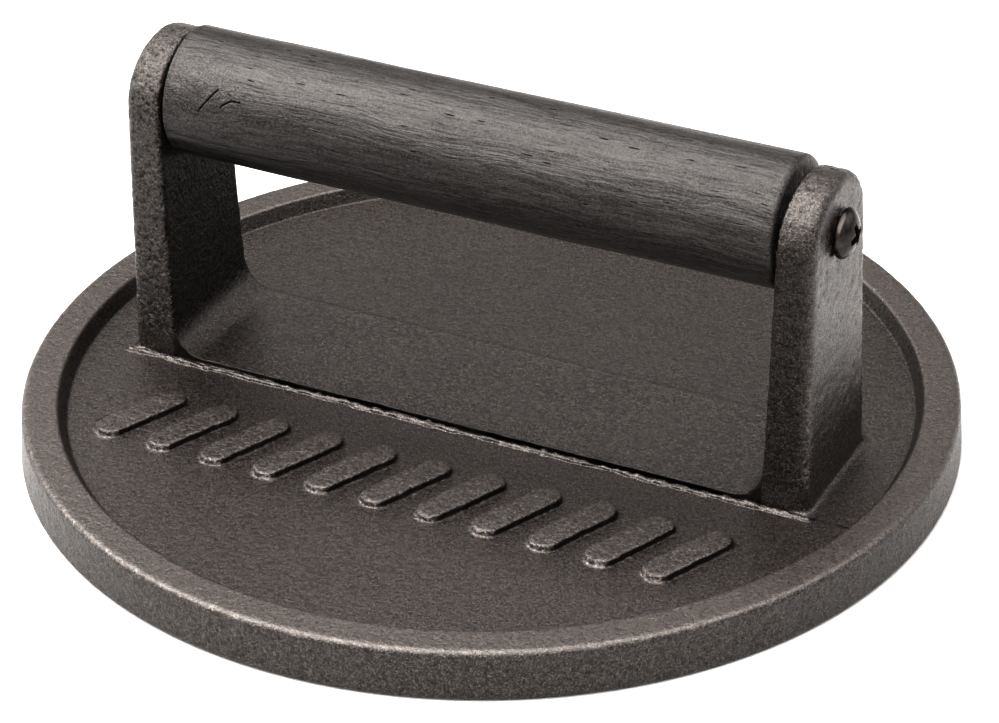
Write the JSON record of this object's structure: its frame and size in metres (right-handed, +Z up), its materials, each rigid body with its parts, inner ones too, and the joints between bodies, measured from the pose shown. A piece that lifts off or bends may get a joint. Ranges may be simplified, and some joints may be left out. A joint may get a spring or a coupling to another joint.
{
  "type": "patty press",
  "caption": "Round cast-iron plate with a raised rim and two posts that hold a turning wooden grip, for pressing patties and bacon flat on a hot griddle.",
  "frame": {"origin": "centre of the plate's flat sole, on the surface it stands on", "axes": "+Z up, +X along the grip towards the right-hand post, -Y towards the side with the raised ornament"},
  "size_m": [0.165, 0.165, 0.0655],
  "materials": {
    "iron": "as cast, seasoned dark grey-brown",
    "stained_wood": "black stain, satin",
    "screw_steel": "blackened, worn bright on the edges",
    "sleeve_steel": "plain drawn steel"
  },
  "bodies": {
    "press": {"press_plate": "iron", "handle_sleeve": "sleeve_steel", "screw_left": "screw_steel", "screw_right": "screw_steel"},
    "grip": {"wood_grip": "stained_wood"}
  },
  "joints": [
    {"name": "grip_turn", "type": "hinge", "parent": "press", "child": "grip", "pos_m": [0, 0, 0.054], "axis": [1, 0, 0], "continuous": true}
  ]
}
